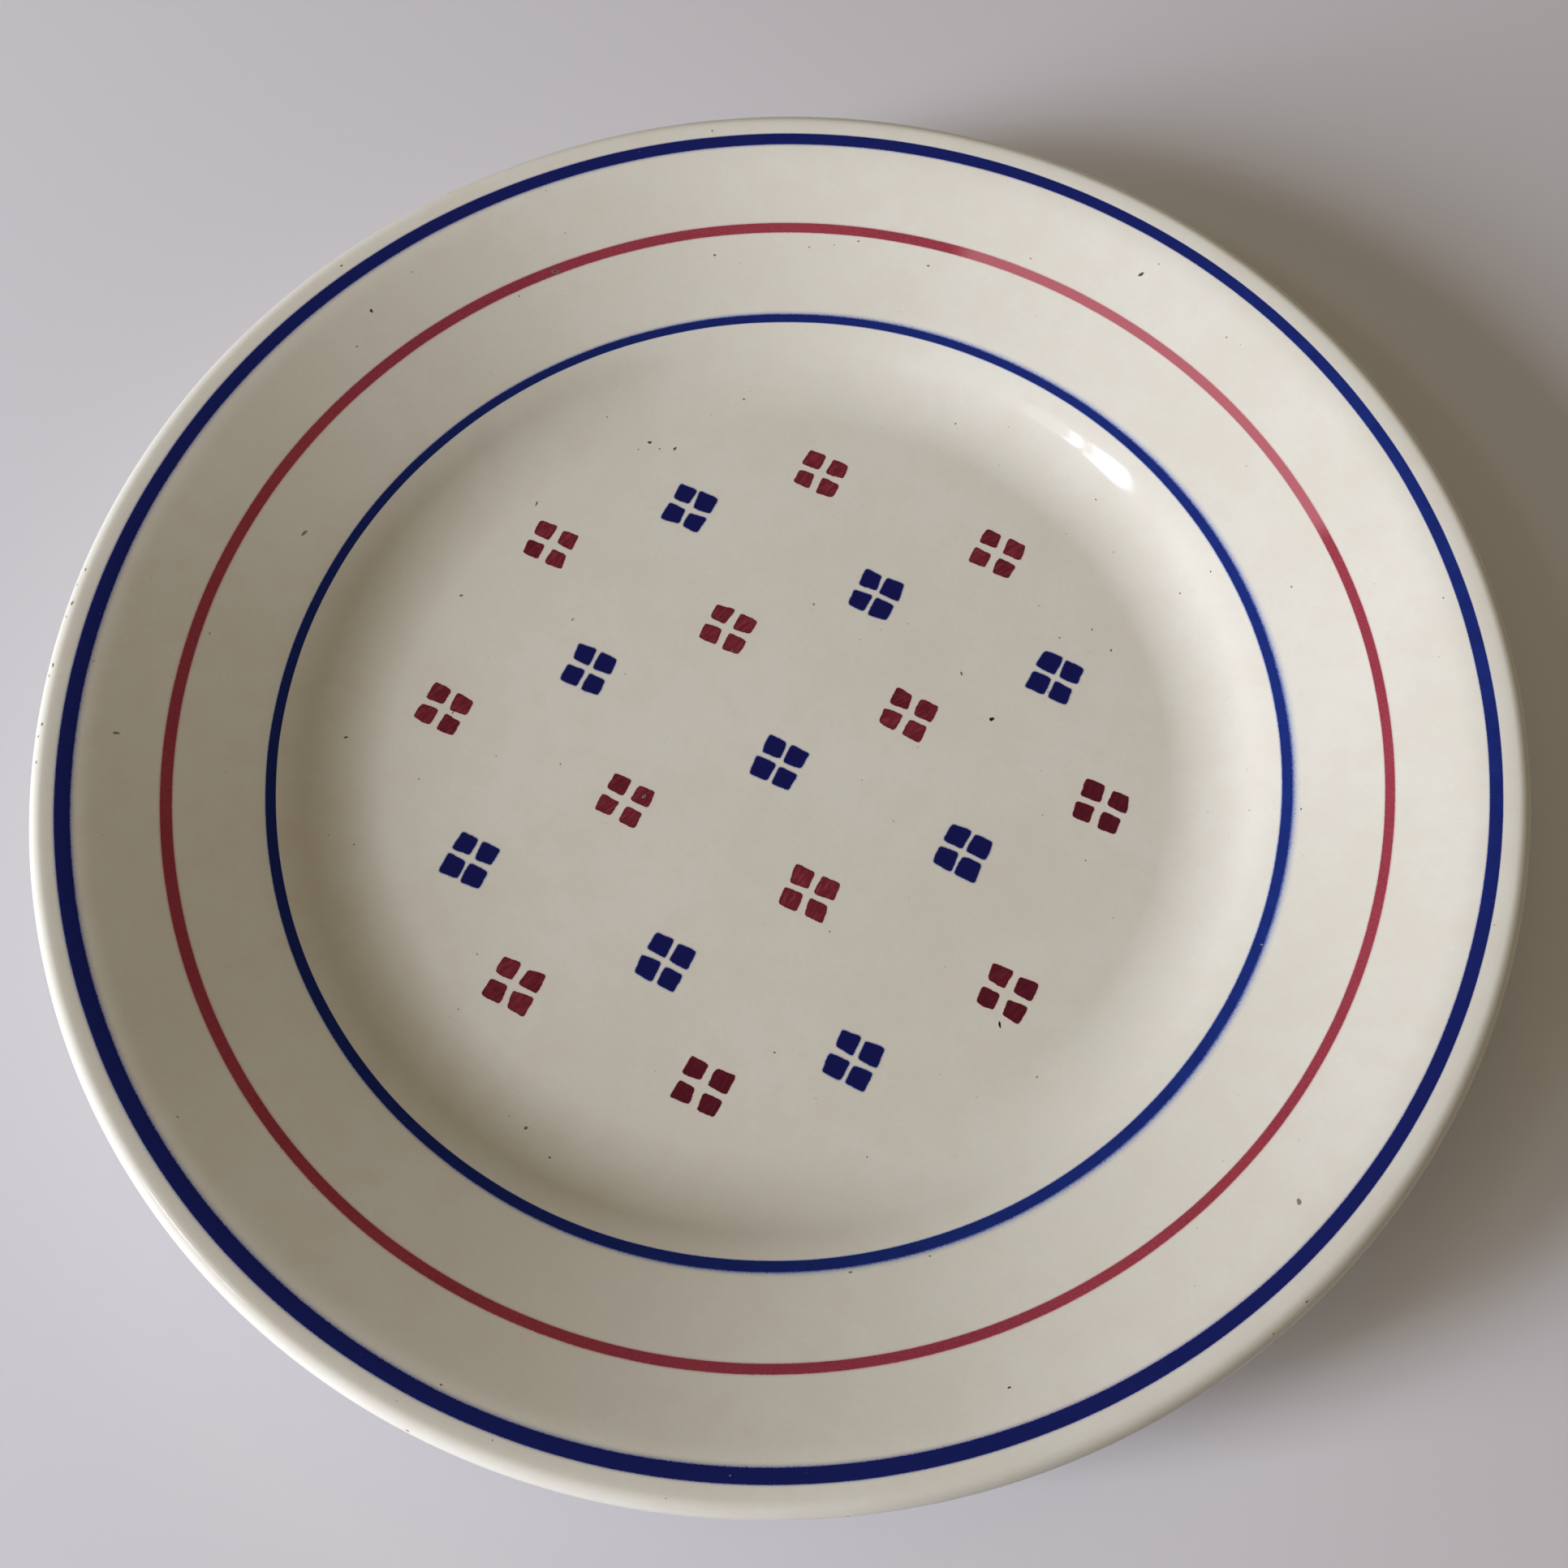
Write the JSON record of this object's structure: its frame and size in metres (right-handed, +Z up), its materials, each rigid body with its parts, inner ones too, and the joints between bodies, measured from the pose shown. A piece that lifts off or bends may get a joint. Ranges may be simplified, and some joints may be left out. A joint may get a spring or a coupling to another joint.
{
  "type": "dinner plate",
  "caption": "Round earthenware dinner plate with a sloping banded rim, a curved shoulder, a flat well stencilled with small squares, and a foot ring",
  "frame": {"origin": "centre of the foot ring's land, on the surface that the plate stands on", "axes": "+Z up out of the well, along the plate's axis; X along the rows of stencilled squares"},
  "size_m": [0.24, 0.24, 0.0277],
  "materials": {
    "clay": "bare fired buff-white clay, matte",
    "glaze": "clear glossy glaze, cream over the clay",
    "cobalt_blue": "glossy cobalt blue ceramic colour under the glaze",
    "crimson_red": "glossy crimson ceramic colour, brushed unevenly"
  },
  "bodies": {
    "root": {"blue_squares_r1_c1": "cobalt_blue", "blue_squares_r1_c2": "cobalt_blue", "blue_squares_r1_c3": "cobalt_blue", "blue_squares_r2_c1": "cobalt_blue", "blue_squares_r2_c2": "cobalt_blue", "blue_squares_r2_c3": "cobalt_blue", "blue_squares_r3_c1": "cobalt_blue", "blue_squares_r3_c2": "cobalt_blue", "blue_squares_r3_c3": "cobalt_blue", "clay_body": "clay", "glaze_foot_recess": "glaze", "glaze_outer_coat": "glaze", "inner_blue_band": "cobalt_blue", "outer_blue_band": "cobalt_blue", "red_band": "crimson_red", "red_squares_r1_c2": "crimson_red", "red_squares_r1_c3": "crimson_red", "red_squares_r2_c1": "crimson_red", "red_squares_r2_c2": "crimson_red", "red_squares_r2_c3": "crimson_red", "red_squares_r2_c4": "crimson_red", "red_squares_r3_c1": "crimson_red", "red_squares_r3_c2": "crimson_red", "red_squares_r3_c3": "crimson_red", "red_squares_r3_c4": "crimson_red", "red_squares_r4_c2": "crimson_red", "red_squares_r4_c3": "crimson_red"}
  },
  "joints": []
}
